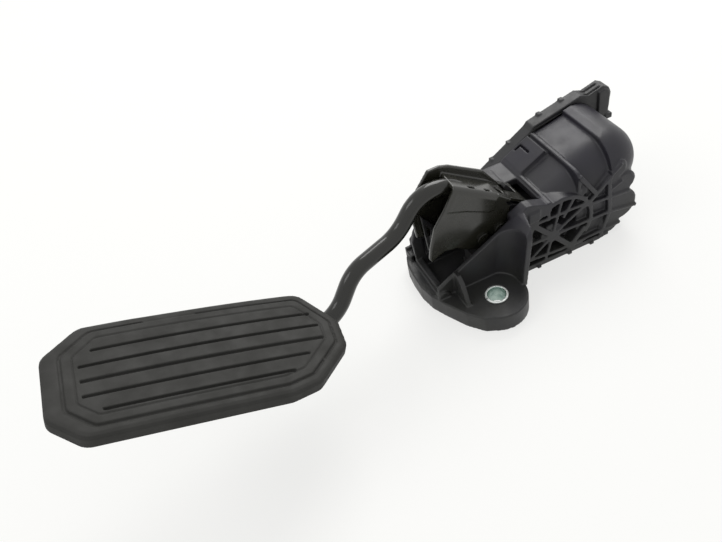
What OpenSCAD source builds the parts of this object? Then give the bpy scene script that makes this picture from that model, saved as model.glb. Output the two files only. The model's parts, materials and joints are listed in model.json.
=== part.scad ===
// Accelerator pedal with a moulded housing, a bent rod arm and a ribbed rubber pad.
// X runs along the unit with the pad at -X, Y is the pivot direction, Z stands on the mounting face.
// The origin is the centre of the near bolt hole on the mounting face.

/* [Housing] */
// Distance from the near bolt hole to the rounded end of the housing
body_len = 100; // [94:1:108]
// Height of the taller dome above the mounting face
body_h = 58; // [54:1:64]
// Distance from the near bolt hole to the ribbed side
side_y = 13; // [12:0.5:15]
// Width of the housing from the ribbed side to the sensor case
body_w = 45; // [44:1:50]
// Depth of the pockets between the ribs
rib_depth = 7; // [5:0.5:7.5]
// Thickness of a thin rib
rib_t = 1.8; // [1.2:0.1:2.4]
// Thickness of a main rib
main_rib_t = 3; // [2.4:0.1:4]
// Thickness of the housing wall
wall_t = 2.4; // [2:0.1:2.6]
// Radius of the edge where a dome turns down to the ribbed side
dome_r = 18; // [16:1:22]

/* [Mounting ears] */
// Thickness of the mounting ears
ear_t = 10; // [8:0.5:12]
// Radius of an ear round its bolt hole
ear_r = 16; // [13:0.5:16.5]
// Outer diameter of the rolled steel sleeve
sleeve_od = 12; // [11:0.1:13]
// Wall thickness of the rolled steel sleeve
sleeve_t = 1.3; // [1:0.1:1.6]
// Width of the slit along the rolled sleeve
sleeve_slit = 0.8; // [0.4:0.1:1.2]

/* [Lever arm] */
// Diameter of the bent rod
rod_d = 8.5; // [7.5:0.1:9]
// Radius of the bends in the rod, measured to its centre line
rod_bend = 11; // [9:0.5:13]
// Thickness of the pressed steel arm
arm_t = 1.8; // [1.4:0.1:2.2]
// Radius of the hole in the top of the pressed arm
arm_hole_r = 2.6; // [1.5:0.1:3]

/* [Pad] */
// Length of the rubber pad
pad_len = 125; // [110:1:135]
// Width of the rubber pad
pad_w = 59; // [52:1:64]
// Thickness of the rubber pad with its plate
pad_t = 7; // [6:0.5:9]
// Angle by which the pad leans from the mounting face
pad_tilt = 20; // [16:1:24]
// Distance between two grooves of the tread
groove_pitch = 7.85; // [7:0.05:8.4]
// Width of a tread groove
groove_w = 1.3; // [0.8:0.1:2]
// Depth of a tread groove
groove_d = 1.4; // [0.8:0.1:2]
// Thickness of the steel plate in the pad
plate_t = 1.8; // [1.4:0.1:2.2]

/* [Pivot and springs] */
// Angle through which the lever turns from rest to full travel
travel = 12; // [9:0.5:13]
// Diameter of the pivot shaft
shaft_d = 8; // [7:0.5:9]
// Running clearance between the shaft and its bushes, on the radius
run_gap = 0.05; // [0.03:0.01:0.08]
// Outer diameter of the plain bushes
bush_od = 11; // [10.5:0.1:12]
// Radius of the moulded lever hub
hub_r = 11; // [10:0.5:11.5]
// Mean radius of the outer return spring
spring_r = 8.6; // [8:0.1:9]
// Wire diameter of the outer return spring
spring_wire = 2; // [1.6:0.1:2.2]
// Mean radius of the inner return spring
inner_spring_r = 5; // [4.6:0.1:5.4]
// Wire diameter of the inner return spring
inner_wire = 1.5; // [1.2:0.1:1.7]
// Turns of each return spring
spring_turns = 5; // [4:1:6]

/* [Sensor and connector] */
// Thickness of the sensor case on the far side
case_w = 8; // [7:0.5:10]
// Length of the connector shell beyond the rounded end of the case
plug_len = 12; // [10:0.5:15]
// Width of the connector shell
plug_w = 10.6; // [10:0.2:12]
// Height of the connector shell
plug_h = 19.5; // [18:0.5:21]
// Wall thickness of the connector shell
plug_wall = 1.6; // [1.3:0.1:2]
// Width of a connector terminal
pin_w = 0.64; // [0.5:0.02:0.8]

/* [Hidden] */
$fn = 64;
gap = 0.3;
// Overlap of a straight length with a bend of the rod
lap = 0.2;
// Side view points are given for a 100 by 58 mm side and follow the two sizes
kx = body_len / 100;
kz = body_h / 58;
function q(x, z) = [x * kx, z * kz];
yn = side_y;
yf = side_y + body_w;
yc = yf + case_w;
pivot = q(42, 19);
floor_z = 3;
well_floor = ear_t - 2;
// Ribbed side: pocket floor and inner face of that wall
pocket_y = yn + rib_depth;
inner_y = pocket_y + 2;
far_in = yf - wall_t;
// Far side of the arm's slot
slot_far = yf - 17;
arm_w = body_w * 0.3556;
arm_y0 = yn + 7;
arm_y1 = arm_y0 + arm_w;
hub_y0 = inner_y + 0.6;
hub_y1 = far_in - 4;
spring_y = far_in - 15;
spring_x = 80 * kx;
seat_z = 23 * kz;
roof_z = 50 * kz;
far_ear = [86 * kx, yf + 20];

// Extrudes a side view from y0 to y1
module side(y0, y1) {
    translate([0, y1, 0]) rotate([90, 0, 0]) linear_extrude(y1 - y0) children();
}

// Extrudes an end view, given as Y and Z, from x0 to x1
module across(x0, x1) {
    translate([x0, 0, 0]) rotate([90, 0, 90]) linear_extrude(x1 - x0) children();
}

// Straight bar between two points of the side view
module bar(a, b, t) {
    l = norm(b - a);
    n = [a[1] - b[1], b[0] - a[0]] * (t / 2 / l);
    polygon([a + n, a - n, b - n, b + n]);
}

// Cylinder along Y
module pin(c, r, y0, y1) {
    translate([c[0], y1, c[1]]) rotate([90, 0, 0]) cylinder(h = y1 - y0, r = r);
}

// Rounded YZ section of a dome that stands back from the side, in from the outside by t
module dome_section(t, foot, top, back) {
    r = dome_r - t;
    y0 = yn + back;
    cz = top - dome_r;
    difference() {
        polygon([[y0 + t, foot], [yf - t, foot], [yf - t, top - t], [y0 + t, top - t]]);
        difference() {
            translate([y0 - 1, cz]) square([1 + dome_r, dome_r + 2]);
            translate([y0 + dome_r, cz]) circle(r, $fn = 96);
        }
    }
}

// Outline of the tall dome, in from the outside by t, in side view
module tall_dome_side(t) {
    r = dome_r - t;
    c = [body_len - dome_r, body_h - dome_r];
    intersection() {
        translate(c) circle(r, $fn = 96);
        translate([c[0] - 0.2, c[1] - 1]) square(dome_r + 3);
    }
    polygon([[77.5 * kx + t, floor_z], [77.5 * kx + t, 57 * kz - t], [c[0], body_h - t],
        [c[0], c[1]], [body_len - t, c[1]], [body_len - t - 4, 28 * kz], [88 * kx, floor_z]]);
}

// Tall dome: a pillow with a ball at its near upper corner and a rounded far corner
module tall_dome(t) {
    c = [body_len - dome_r, yn + 1 + dome_r, body_h - dome_r];
    r = dome_r - t - 0.03;
    far = 8.8;
    difference() {
        intersection() {
            side(yn, yf - t) tall_dome_side(t);
            across(60 * kx, body_len + 1) dome_section(t, 0, body_h, 1);
        }
        translate([c[0], yn - 1, -1]) cube([dome_r + 1, dome_r + 2, 100]);
        translate([body_len - t - far, yf - t - far, -1]) linear_extrude(100) difference() {
            square(12);
            circle(9, $fn = 64);
        }
    }
    intersection() {
        union() {
            translate(c) sphere(r, $fn = 96);
            translate([c[0], c[1], 4]) cylinder(h = c[2] - 4, r1 = r - 5, r2 = r, $fn = 96);
        }
        translate([c[0] - 0.3, yn - 1, 0]) cube([dome_r + 1, dome_r + 2.3, 100]);
    }
}

// Low dome, whose top rises towards the tall one
module low_dome(t) {
    intersection() {
        side(yn, yf - t) polygon([q(58, 0) + [t, floor_z], q(58, 62) + [t, 0], q(77.6, 62) + [t, 0],
            q(77.6, 0) + [t, floor_z]]);
        translate([58 * kx, 0, 50.3 * kz]) rotate([0, -12.4, 0]) across(-14 * kx, 34 * kx)
            dome_section(t, -64 * kz, 0, 2.6);
    }
}

// Plan of the base: the ear, the flange at the pad end and the floor
module base_plan() {
    circle(ear_r, $fn = 96);
    polygon([[-5.6, -ear_r + 1.2], [-13.2, -11.2], [-19.4, -3.2], [-25.2, 8], [-29, 17], [-30.6, 26], [-30.4, 36],
        [-29.4, yf - 13], [-27.4, yf - 7.6], [-24, yf - 5], [0, yf - 5], [20 * kx, yf - 11], [20 * kx, yn],
        [ear_r, 0], [0, -5]]);
}

// Outline of the ribbed side
module side_outline() {
    difference() {
        union() {
            polygon([q(17, 0), q(72, 0), q(80, 1.5), q(84, 8), q(86, 24), q(85, 40), q(84.6, 47.2),
                q(74.4, 40.1), q(62.9, 30.5), q(62.9, 35), q(40, 41), q(24, 41.6)]);
            translate(q(47.5, 21.8)) circle(19.3 * kz, $fn = 96);
            lobes(0);
        }
        polygon([q(62, 60), q(62.9, 31.8), q(84, 48.6), q(84, 60)]);
    }
}

// Four rounded lobes at the end of the housing
module lobes(t) {
    translate(q(81.8, 43)) circle(5 * kz - t, $fn = 48);
    translate(q(86.3, 32.3)) circle(6.6 * kz - t, $fn = 48);
    translate(q(85.2, 16.8)) circle(9.7 * kz - t, $fn = 48);
    translate(q(78.4, 7)) circle(6.6 * kz - t, $fn = 48);
}

// Scalloped end wall, in from the outside by t
module lobe_wall(t) {
    intersection() {
        side_outline();
        union() {
            lobes(t);
            polygon([q(77, 1) + [0, t], q(80, 1) + [0, t], q(86, 24) - [t, 0], q(82, 46) - [t, t], q(77, 41)]);
        }
    }
}

// Lattice of ribs on the near side
module rib_lattice() {
    hl = q(30, 31.6);
    hm = q(42, 18.2);
    hr = q(53.4, 4.8);
    ht = q(63, 30.5);
    bar(hl, hm, main_rib_t);
    bar(hm, hr, main_rib_t);
    bar(hr, q(62.3, 14), main_rib_t);
    bar(q(40.2, 40), hl, main_rib_t);
    bar(hl, q(16, 30.6), main_rib_t);
    bar(hm, q(16, 18.6), rib_t);
    bar(hm, q(16, -1.6), rib_t);
    bar(q(16, 8.4), hr, rib_t);
    bar(hm, q(36.6, -1), rib_t);
    bar(hm, q(47.3, 40), rib_t);
    bar(q(43, 19), ht, rib_t);
    bar(hl, ht, rib_t);
    bar(hm, q(77.3, 17), rib_t);
    bar(q(77.3, 17), q(96, 13.4), rib_t);
    bar(hr, q(86, 5.8), rib_t);
    bar(q(48.3, 27.5), q(54.6, 38), rib_t);
    bar(q(64.5, 28.6), q(76.8, 27.2), rib_t);
    bar(q(76.8, 27.2), q(91, 25.6), rib_t);
    bar(ht, q(83, 46.2), rib_t);
    bar(q(75.6, 42), q(77.3, 17), rib_t + 0.6);
    bar(q(77.3, 17), q(73.7, 5.6), rib_t + 0.4);
    bar(q(73.7, 5.6), q(71, -1), rib_t + 0.4);
    bar(q(39.4, 30), q(40.2, 40), rib_t);
    bar(q(77, 32), q(84, 35), rib_t * 0.8);
    bar(hr, q(52.6, -1), rib_t);
    translate(hl) circle(2.6, $fn = 32);
    translate(hm) circle(3.6, $fn = 32);
    translate(hr) circle(2.6, $fn = 32);
    translate(ht) circle(2.6, $fn = 32);
    // Curved band round the hub
    difference() {
        translate(q(47.5, 21.8)) circle(19.3 * kz, $fn = 96);
        translate(q(47.5, 21.8)) circle(19.3 * kz - main_rib_t * 0.8, $fn = 96);
        polygon([q(10, -5), q(10, 50), q(39.4, 50), q(39.4, 21.8), q(47.5, 21.8), q(62.3, 12.6), q(62.3, -5)]);
    }
}

// Gusset to the right of the ear: it leans outwards and runs into the wall with a wide fillet
module tall_gusset() {
    r = 11;
    intersection() {
        translate([0, 0, ear_t - 2]) rotate([0, 7, 0]) translate([0, 0, -6]) linear_extrude(46 * kz)
            polygon(concat([[ear_r + 5, yn + 1.4], [ear_r + 1, -1.4], [ear_r - 2, -1.4]],
                [for (a = [0:7.5:90]) [ear_r - 2 - r + r * cos(a), yn - r + 0.7 + r * sin(a)]],
                [[ear_r - 2 - r, yn + 1.4]]));
        side(-4, yn + 2) polygon([[-6, ear_t - 2], [30, ear_t - 2], q(30, 45.8), q(22, 43), q(-6, 27.3)]);
        across(-6, 40) union() {
            polygon([[-1.4, 0], [yn + 2, 0], [yn + 2, 46 * kz], [5, 43.6 * kz], [-1.4, 38 * kz]]);
            translate([4.4, 37.6 * kz]) circle(5.8 * kz, $fn = 48);
        }
    }
}

// Corner of the side wall between the arm's slot and the first ridge
module wall_corner() {
    side(yn, yn + 6.2) polygon([q(19, 36), q(19, 41.2), q(27, 45.4), q(30, 45), q(40, 41), q(40, 34)]);
}

// Smooth surface between the two ridges on top, rounded over to the ribbed side
module near_shoulder() {
    r = 13;
    difference() {
        translate([40 * kx, 0, 39.8 * kz]) rotate([0, -25.5, 0]) across(0.5, 20 * kx) difference() {
            polygon([[yn + 0.7, -12], [yf - 17, -12], [yf - 17, 0], [yn + 0.7, 0]]);
            difference() {
                translate([yn - 0.3, -r]) square([r + 1, r + 1]);
                translate([yn + 0.7 + r, -r]) circle(r, $fn = 72);
            }
        }
        side(yn - 1, pocket_y) translate(q(47.5, 21.8)) circle(19.3 * kz - 1.2, $fn = 96);
    }
}

// Solid outside of the housing before it is hollowed
module housing_outside() {
    linear_extrude(ear_t) base_plan();
    translate([10, yn, 0]) cube([60 * kx, body_w, floor_z]);
    // Wall behind the ear and the wall on the far side of the arm's slot
    side(yn, yn + 2.5) polygon([[-26, 2], [-26, 15.8], [-20, 19.6 * kz], q(20.5, 42), q(27, 45.6), q(30, 45), q(36, 41.6),
        q(20, 0)]);
    side(slot_far, yf - 4.5) polygon([[-22.6, 2], [-23, 19 * kz], [-18, 24.6 * kz], [-13, 36 * kz], q(14, 44),
        q(30, 42), q(30, 0)]);
    side(slot_far, slot_far + 2.4) polygon([[-24, 2], [-25.8, 27 * kz], [-24, 33 * kz], [-18.3, 42.6 * kz],
        [-12, 40 * kz], q(14, 44), q(14, 30), [-10, 2]]);
    // Floor and side block of the main chamber
    side(pocket_y, yf) polygon([q(18, 0), q(82, 0), q(92, 6), q(96, 24), q(94, 40), q(58, 40), q(40, 40.7),
        q(20, 40.7)]);
    translate([47.5 * kx, yn + 26, 21.8 * kz]) rotate([90, 0, 0]) cylinder(h = 26 - rib_depth, r = 18.9 * kz, $fn = 96);
    // Sloping plate, the raised block on it and the two ribs on top
    side(yf - 17.4, yf) polygon([q(24, 34), q(40, 41), q(58, 49.9), q(58, 30), q(24, 30)]);
    side(yf - 17, yf) polygon([q(36, 36), q(38, 40.4), q(40.8, 42.8), q(55.6, 50.6), q(55.6, 30), q(36, 30)]);
    side(yn, yf) bar(q(40.2, 36), q(40.2, 41.8), 2.2);
    across(57.2 * kx, 59.4 * kx) polygon([[yn + 1, 34 * kz], [yn + 1, 46.6 * kz], [yn + 1.6, 48.8 * kz],
        [yn + 3, 50.2 * kz], [yn + 5.4, 50.9 * kz], [yn + 9, 51.2 * kz], [yf, 51.2 * kz], [yf, 34 * kz]]);
    low_dome(0);
    tall_dome(0);
    near_shoulder();
    // Ribbed side
    side(yn, pocket_y + 1) intersection() {
        side_outline();
        union() {
            rib_lattice();
            difference() {
                side_outline();
                offset(delta = -2.2) side_outline();
                translate(q(77.6, -5)) square(70);
            }
        }
    }
    side(yn + 1.6, yn + 24) lobe_wall(0);
    side(yn + 0.9, yn + 2) lobe_wall(0.9);
    side(yn, yn + 3.4) bar(q(58.2, 49), q(68, 34.2), rib_t + 0.6);
    tall_gusset();
    wall_corner();
    // Low gusset to the left of the ear
    across(-ear_r - 0.6, -ear_r + 1.8) polygon([[-0.4, ear_t - 1], [yn + 1, ear_t - 1], [yn + 1, 23.5 * kz],
        [9, 24.5 * kz], [5.4, 21 * kz]]);
    // Clip block, small feet and end block
    translate([27.6 * kx, yn - 0.8, 34 * kz]) cube([6.6, 5.6, 6.4]);
    for (x = [32, 51, 65])
        translate([x * kx, yn - 1.4, 0]) cube([2.4, 2, 1.8]);
    translate([-26.2, yf - 11.8, 0]) cube([7.2, 7.4, ear_t + 4.6]);
    // Rail along the flange
    translate([-25.2, yn + 2, ear_t - 1]) cube([3.6, 27, 5]);
    pin([-23.4, ear_t + 0.6], 3.4, yn - 1.4, yn + 3);
    // Boss for the shaft on the near side
    pin(pivot, shaft_d / 2 + 2.6, yn + 1, inner_y);
    // Ear on the far side for the second bolt, with its ribs
    translate([far_ear[0], far_ear[1], 0]) cylinder(h = ear_t, r = ear_r - 2, $fn = 96);
    translate([far_ear[0] - ear_r + 2, yf - 6, 0]) cube([2 * ear_r - 4, far_ear[1] - yf + 6, ear_t]);
    for (x = [far_ear[0] - ear_r + 2, far_ear[0] + ear_r - 4.4])
        across(x, x + 2.4) polygon([[yf - 1, ear_t - 1], [far_ear[1] - 2, ear_t - 1], [yf + 4, 12 * kz - 0.5],
            [yf - 1, 12 * kz - 0.5]]);
}

// Room inside: the arm's slot, the main chamber and the inside of both domes
module housing_room() {
    difference() {
        housing_hollow();
        translate([spring_x, spring_y, roof_z]) cylinder(h = 20, r = spring_r + 2);
        wall_corner();
    }
}

module housing_hollow() {
    side(yn + 2.5, slot_far) polygon([[-21.6, well_floor], [-21.6, 90], q(38, 90), q(38, 34), q(30, floor_z + 1),
        q(20, well_floor)]);
    side(inner_y, far_in) polygon([q(21, 0) + [0, floor_z], q(84, 0) + [0, floor_z], q(90.4, 8), q(93.4, 24),
        q(93.4, 37.4), q(56, 37.4), q(42, 36.6), q(21, 36.6)]);
    side(inner_y, slot_far) polygon([q(21, 20), q(38, 20), q(38, 60), q(21, 60)]);
    intersection() {
        low_dome(wall_t);
        translate([0, inner_y, 0]) cube([200, far_in - inner_y, 200]);
    }
    side(spring_y - spring_r - 1.8, far_in) polygon([q(72, 12), q(84, 12), q(84, 50), q(72, 50)]);
    intersection() {
        tall_dome(wall_t);
        translate([0, inner_y, 8]) cube([200, far_in - inner_y, 200]);
    }
}

// Main moulding with ears, ribbed side, domes and lobed end
module housing_body() {
    color([0.15, 0.15, 0.16])
    difference() {
        housing_outside();
        housing_room();
        // Bores: sleeves in both ears, shaft seats, sensor window
        translate([0, 0, -1]) cylinder(h = ear_t + 2, d = sleeve_od);
        translate([far_ear[0], far_ear[1], -1]) cylinder(h = ear_t + 2, d = sleeve_od);
        pin(pivot, shaft_d / 2, yn + 3, yf - 0.6);
        pin(pivot, 12.4, far_in - 0.5, yf + 1);
        for (p = [[34, 20], [88, 20], [62, 44]])
            pin(q(p[0], p[1]), 1.6, yf - 2, yf + 1);
        // Triangular pockets at the pad end of the far wall
        translate([-30, 0, 0]) rotate([90, 0, 90]) linear_extrude(26)
            polygon([[slot_far + 2, 27 * kz], [slot_far + 10.4, 28 * kz], [slot_far + 2, 12]]);
        translate([-30, 0, 0]) rotate([90, 0, 90]) linear_extrude(26)
            polygon([[slot_far + 4.4, 13], [slot_far + 10.6, 24.6 * kz], [slot_far + 10.6, 13]]);
        side(slot_far - 1, slot_far + 1.5) polygon([[-19.8, 36 * kz], [-14.6, 29 * kz], [-19.4, 13 * kz]]);
        // Hollow in the end block and notch in the sloping plate
        translate([-24.4, yf - 16, ear_t - 4]) cube([19, 9.6, 6.4]);
        side(yf - 2.2, yf - 1) bar(q(47, 44.7), q(51, 46.8), 2.6);
        side(yf - 10, yf - 1) bar(q(50.4, 45.6), q(50.4, 50), 1);
    }
}

// Outline of the sensor case in side view, in from the outside by t
module case_outline(t) {
    offset(delta = -t) polygon([q(24, 12), q(24, 31), q(30, 34.6), q(58, 51.4), q(59.8, 53.6), q(89.6, 60.6), q(96.6, 58),
        q(99, 50), q(97, 22), q(88, 12)]);
}

plug_x = 92 * kx;
plug_end = 97 * kx + plug_len;
plug_y0 = yc - plug_w + 1.8;
plug_z0 = 41.5 * kz;
plug_z1 = plug_z0 + plug_h;
socket_x = plug_end - 12;

// Side view of the connector shell, in from the outside by t
module plug_side(t) {
    offset(delta = -t) polygon([[plug_x, plug_z0], [plug_end - 1, plug_z0], [plug_end, plug_z1 - 5.4],
        [plug_end - 1.4, plug_z1 - 2], [plug_end - 5, plug_z1], [plug_x, plug_z1 - 3.2]]);
}

// Sensor case with the connector shell moulded on
module sensor_case() {
    color([0.17, 0.17, 0.18])
    difference() {
        union() {
            side(yf + 0.6, yc) case_outline(0);
            side(yf + 0.6, plug_y0 + plug_w - 1.4) plug_side(0);
            side(yf + 0.6, plug_y0 + plug_w) plug_side(1.4);
            side(plug_y0 + 1.2, yf + 1) intersection() {
                plug_side(0);
                translate([body_len + 0.4, 0]) square(200);
            }
            side(plug_y0, yf + 1) intersection() {
                plug_side(1.2);
                translate([body_len + 0.4, 0]) square(200);
            }
            // Nib below the mouth of the shell
            translate([plug_end - 4, plug_y0 - 0.6, plug_z0 - 1.6]) cube([4.4, 4, 3]);
            // Clip ends along the upper edge
            for (p = [[36, 38.6], [47, 45], [66, 55.3], [80, 58.5]])
                translate([p[0] * kx, yc - 2.4, p[1] * kz - 1.4]) cube([2.6, 3, 2.2]);
            for (p = [[34, 20], [88, 20], [62, 44]])
                pin(q(p[0], p[1]), 4.4, yf + 0.6, yc + 1);
        }
        // Room for the board, open to the housing, and screw holes
        side(yf, yc - 2) intersection() {
            case_outline(2.2);
            polygon([q(40, 0), q(40, 60), q(84, 60), q(84, 0)]);
        }
        for (p = [[34, 20], [88, 20], [62, 44]])
            pin(q(p[0], p[1]), 2.2, yf - 1, yc + 3);
        // Socket of the connector and the two slots on its top
        translate([socket_x, plug_y0 + plug_wall + 0.8, plug_z0 + plug_wall])
            cube([20, plug_w - 2 * plug_wall - 1, plug_h - 2 * plug_wall - 2]);
        for (v = [0.24, 0.56])
            translate([plug_end - 6.4, plug_y0 + plug_w * v, plug_z1 - 1]) rotate([0, -13, 0])
                translate([-10, 0, -0.6]) cube([10, 1.1, 4]);
    }
}

// Flat seal between sensor case and housing
module sensor_gasket() {
    color([0.35, 0.2, 0.12])
    side(yf, yf + 0.6) difference() {
        intersection() {
            case_outline(0.4);
            polygon([q(24, 12.4), q(24, 34), q(60, 52.6), q(86, 57), q(92, 48), q(92, 12.4)]);
        }
        intersection() {
            case_outline(2.4);
            polygon([q(40, 0), q(40, 60), q(84, 60), q(84, 0)]);
        }
        for (p = [[34, 20], [88, 20], [62, 44]])
            translate(q(p[0], p[1])) circle(2.4);
    }
}

board_y = yc - 2 - 1.6;

// Circuit board fixed to the bottom of the case
module sensor_board() {
    color([0.1, 0.35, 0.2])
    difference() {
        side(board_y, board_y + 1.6) polygon([q(43, 15.4), q(43, 38), q(52, 42), q(81, 42), q(81, 15.4)]);
        pin(q(62, 44), 5, yf, yc + 1);
    }
}

// Two sensor chips in line with the magnet ring
module sensor_chips() {
    color([0.05, 0.05, 0.05]) {
        translate([pivot[0] + 3.4, board_y - 1.4, pivot[1] + 2]) cube([5, 1.4, 4.4]);
        translate([pivot[0] + 3.4, board_y - 1.4, pivot[1] - 3.4]) cube([5, 1.4, 4.4]);
        translate([pivot[0] + 16, board_y - 1.8, pivot[1] + 4]) cube([8, 1.8, 8]);
    }
}

// Six terminals in two rows
module connector_terminals() {
    color([0.8, 0.7, 0.4])
    for (i = [0:1], j = [0:2])
        translate([socket_x - 3, plug_y0 + plug_w * (0.4 + 0.24 * i) - pin_w / 2,
            plug_z0 + plug_h * (0.26 + 0.2 * j) - pin_w / 2])
            cube([9.4, pin_w, pin_w]);
}

// Three screws that hold the sensor case
module case_screws() {
    color([0.6, 0.6, 0.62])
    for (p = [[34, 20], [88, 20], [62, 44]]) {
        pin(q(p[0], p[1]), 1.6, yf - 1.6, yc + 1.2);
        difference() {
            pin(q(p[0], p[1]), 3.6, yc + 1, yc + 3.2);
            pin(q(p[0], p[1]), 1.5, yc + 2, yc + 4, $fn = 6);
        }
    }
}

// One rolled sleeve with its slit
module rolled_sleeve() {
    difference() {
        translate([0, 0, 0]) cylinder(h = ear_t + 0.3, d = sleeve_od);
        translate([0, 0, -1]) cylinder(h = ear_t + 3, d = sleeve_od - 2 * sleeve_t);
        rotate(205) translate([0, -sleeve_slit / 2, -1]) cube([sleeve_od, sleeve_slit, ear_t + 3]);
    }
}

// Steel sleeves in both ears
module ear_sleeves() {
    color([0.8, 0.82, 0.8]) {
        rolled_sleeve();
        translate([far_ear[0], far_ear[1], 0]) rolled_sleeve();
    }
}

// Shaft fixed in both side walls
module pivot_shaft() {
    color([0.7, 0.7, 0.72])
    difference() {
        pin(pivot, shaft_d / 2, yn + 3, far_in + 1.2);
        difference() {
            pin(pivot, shaft_d, hub_y1 + 1, hub_y1 + 1.8);
            pin(pivot, shaft_d / 2 - 0.6, hub_y1, hub_y1 + 3);
        }
    }
}

// Spring clip in the groove of the shaft
module shaft_clip() {
    color([0.5, 0.5, 0.52])
    difference() {
        pin(pivot, shaft_d / 2 + 1.6, hub_y1 + 1.05, hub_y1 + 1.75);
        pin(pivot, shaft_d / 2 - 0.6, hub_y1, hub_y1 + 3);
        translate([pivot[0] - 2, hub_y1, pivot[1] - 12]) cube([4, 3, 12]);
    }
}

// Plain bushes pressed into the hub
module pivot_bushes() {
    color([0.72, 0.55, 0.3])
    for (y = [hub_y0, hub_y1 - 8])
        difference() {
            pin(pivot, bush_od / 2, y, y + 8);
            pin(pivot, shaft_d / 2 + run_gap, y - 1, y + 9);
        }
}

// Moulded hub with the nose in the pressed arm and the beam under the springs
module lever_hub() {
    color([0.2, 0.2, 0.21])
    difference() {
        union() {
            pin(pivot, hub_r, hub_y0, hub_y1);
            side(arm_y0 + arm_t, arm_y1 - arm_t) polygon([q(2, 27), q(18, 29), q(33, 12), q(44, 22), q(35.6, 36),
                q(24, 43), q(14, 43), q(2, 36)]);
            side(hub_y0 + 2, hub_y1 - 2) polygon([q(44, 9), q(70, 14), q(88, 14.6), q(88, 18.4), q(68, 20.4),
                q(50, 27)]);
            translate([spring_x, spring_y, 15 * kz]) cylinder(h = seat_z - 15 * kz - 2, r = spring_r + 1.6);
            // Web with a three-cornered window between the cheeks
            side(arm_y1 - 5.2, arm_y1 - 3.4) difference() {
                polygon([q(-22.2, 51.6), q(-15.4, 41.4), q(4, 35.6), q(4, 28), q(-10, 27.4), q(-19.8, 22.4),
                    q(-20.8, 28), q(-21.6, 40)]);
                polygon([q(-20.7, 45.6), q(-17.6, 40.4), q(-19.4, 29)]);
            }
            // Hook through the slot of the arm
            side(yn + 18, yn + 21.4) polygon([q(24, 39), q(29.6, 36), q(29.6, 43.6), q(26, 48.6), q(24.6, 47.4),
                q(25.4, 44)]);
        }
        pin(pivot, bush_od / 2, hub_y0 - 1, hub_y0 + 8);
        pin(pivot, bush_od / 2, hub_y1 - 8, hub_y1 + 1);
        pin(pivot, shaft_d / 2 + 0.6, hub_y0, hub_y1);
        for (p = [[5.4, 30.6], [15.4, 32.6]])
            pin(q(p[0], p[1]), 2.5, yn, yf);
        // Side of the nose next to the ribbed wall
        translate([30 * kx, arm_y0, 0]) cube([20, hub_y0 - arm_y0, 36.2 * kz]);
        // Pockets that lighten the beam
        side(hub_y0, spring_y - 1.6) polygon([q(56, 14.6), q(66, 16), q(66, 20), q(56, 21.6)]);
        side(spring_y + 1.6, hub_y1) polygon([q(56, 14.6), q(66, 16), q(66, 20), q(56, 21.6)]);
    }
}

// Holder of the magnet on the far end of the hub
module magnet_holder() {
    color([0.3, 0.3, 0.32])
    difference() {
        pin(pivot, hub_r - 1, hub_y1, far_in + 0.4);
        pin(pivot, shaft_d / 2 + 2.2, hub_y1 - 1, far_in + 2);
        pin(pivot, hub_r - 2.4, far_in - 2.2, far_in + 2);
    }
}

// Magnet ring
module magnet_ring() {
    color([0.25, 0.25, 0.27])
    difference() {
        pin(pivot, hub_r - 2.4, far_in - 2.2, far_in + 0.4);
        pin(pivot, shaft_d / 2 + 2.2, far_in - 3, far_in + 2);
    }
}

// Side view of the cheeks of the pressed arm
module cheek_near() {
    polygon([q(-24, 29.6), q(-21.2, 31.6), q(-16.6, 33.2), q(-10, 31.8), q(-2.8, 26.9), q(4, 24.2),
        q(14, 26), q(19, 33), q(21.6, 44), q(16.2, 54.3), q(-7.1, 70.2), q(-14, 59), q(-20.4, 50.2),
        q(-24, 38.5), q(-25.2, 32)]);
}

module cheek_far() {
    polygon([q(-25, 36), q(-18, 33.6), q(-10, 31.8), q(-2.8, 26.9), q(4, 24.2), q(14, 26), q(22, 34),
        q(24, 48), q(15.3, 60.7), q(-2.6, 72.2), q(-8, 74), q(-13.8, 73.9), q(-24.4, 60.9), q(-26, 50)]);
}

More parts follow.
